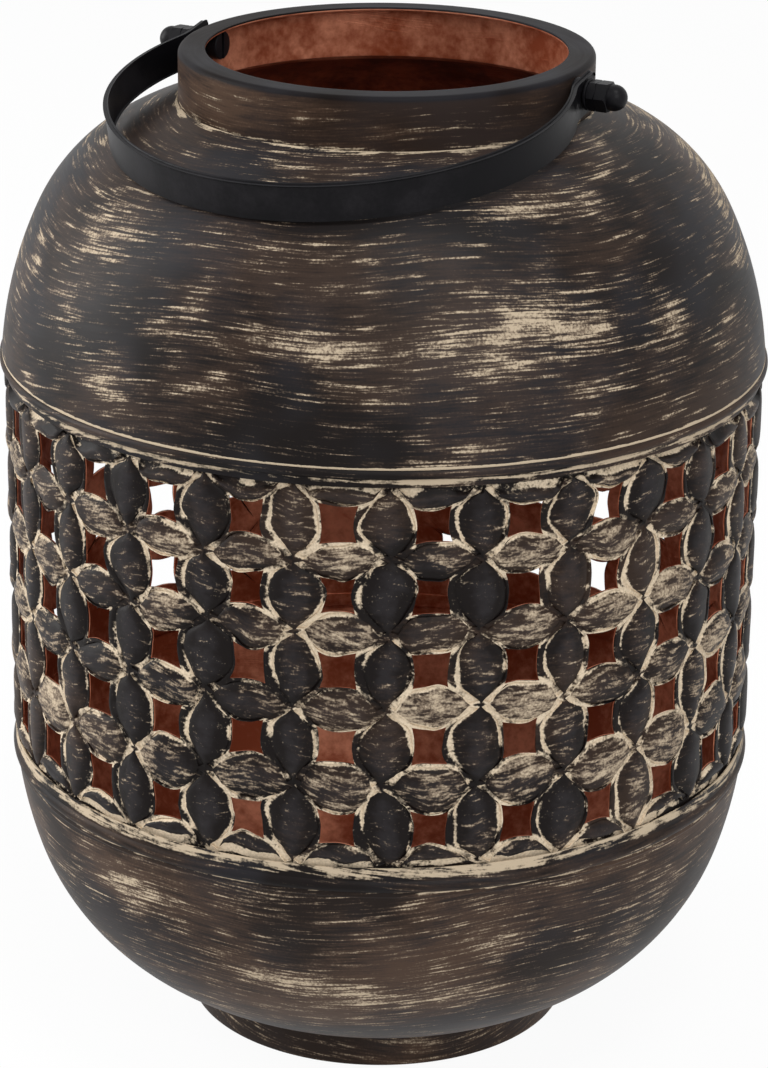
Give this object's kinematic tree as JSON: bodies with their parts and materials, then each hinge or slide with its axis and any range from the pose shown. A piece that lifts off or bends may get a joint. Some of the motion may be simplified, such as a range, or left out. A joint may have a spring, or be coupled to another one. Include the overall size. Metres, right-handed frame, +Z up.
{
  "type": "punched tin lantern",
  "caption": "Round punched metal candle lantern with a pierced petal-pattern band, open turned-in neck, foot ring and a swinging flat bail handle.",
  "frame": {"origin": "centre of the foot ring's underside, on the ground", "axes": "+Z up along the lantern's axis; -Y is the front; the bail's pivot line is turned 27.8 degrees clockwise from +X seen from above"},
  "size_m": [0.227, 0.227, 0.3005],
  "materials": {
    "brushed_black_tin": "near-black paint dry-brushed with cream, satin",
    "copper_paint": "mottled copper metallic paint",
    "black_steel": "satin black"
  },
  "bodies": {
    "lantern": {"foot_ring": "brushed_black_tin", "lower_bowl": "brushed_black_tin", "candle_tray": "copper_paint", "tray_rivet": "black_steel", "lower_seam_ring": "brushed_black_tin", "pierced_band": "brushed_black_tin", "upper_seam_ring": "brushed_black_tin", "upper_dome": "brushed_black_tin", "neck_collar": "brushed_black_tin", "pivot_bolt_right": "black_steel", "inner_washer_right": "black_steel", "spacer_washer_right": "black_steel", "outer_washer_right": "black_steel", "lock_nut_right": "black_steel", "cap_nut_right": "black_steel", "pivot_bolt_left": "black_steel", "inner_washer_left": "black_steel", "spacer_washer_left": "black_steel", "outer_washer_left": "black_steel", "lock_nut_left": "black_steel", "cap_nut_left": "black_steel"},
    "bail": {"handle": "black_steel"}
  },
  "joints": [
    {"name": "handle_swing", "type": "hinge", "parent": "lantern", "child": "bail", "pos_m": [0, 0, 0.29409], "axis": [-0.8846, 0.4664, 0], "range_deg": [0, 201.8]}
  ]
}
